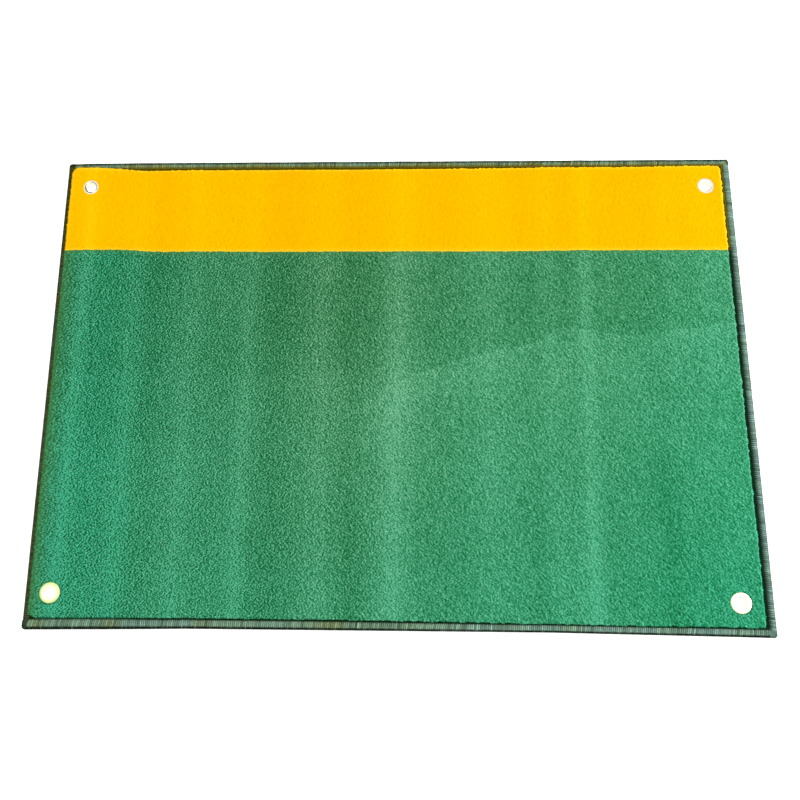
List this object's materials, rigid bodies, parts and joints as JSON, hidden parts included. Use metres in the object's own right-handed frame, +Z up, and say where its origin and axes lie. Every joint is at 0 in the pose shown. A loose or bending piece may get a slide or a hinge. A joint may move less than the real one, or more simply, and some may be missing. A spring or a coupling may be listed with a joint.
{
  "type": "golf hitting mat",
  "caption": "Flat rectangular cut-pile golf hitting mat: green field, yellow band along one long edge, yarn-serged edges, rubber base and brass corner eyelets.",
  "frame": {"origin": "centre of the underside, on the surface that the mat lies on", "axes": "+X along the long side, to the right as a golfer sees it with the yellow band at the far side; +Y towards the yellow band; +Z up, out of the pile"},
  "size_m": [0.9, 0.62, 0.0102],
  "materials": {
    "rubber": "matte",
    "latex": "matte",
    "backing_cloth": "matte",
    "green_pile": "matte",
    "yellow_pile": "matte",
    "serging_yarn": "matte",
    "thread": "matte",
    "brass": "polished"
  },
  "bodies": {
    "root": {"rubber_base": "rubber", "latex_coat": "latex", "primary_backing": "backing_cloth", "green_pile": "green_pile", "yellow_pile": "yellow_pile", "serging_front": "serging_yarn", "serging_rear": "serging_yarn", "serging_left": "serging_yarn", "serging_right": "serging_yarn", "stitch_thread_front": "thread", "stitch_thread_rear": "thread", "stitch_thread_left": "thread", "stitch_thread_right": "thread", "eyelet_front_left": "brass", "eyelet_front_right": "brass", "eyelet_rear_left": "brass", "eyelet_rear_right": "brass", "washer_front_left": "brass", "washer_front_right": "brass", "washer_rear_left": "brass", "washer_rear_right": "brass"}
  },
  "joints": []
}
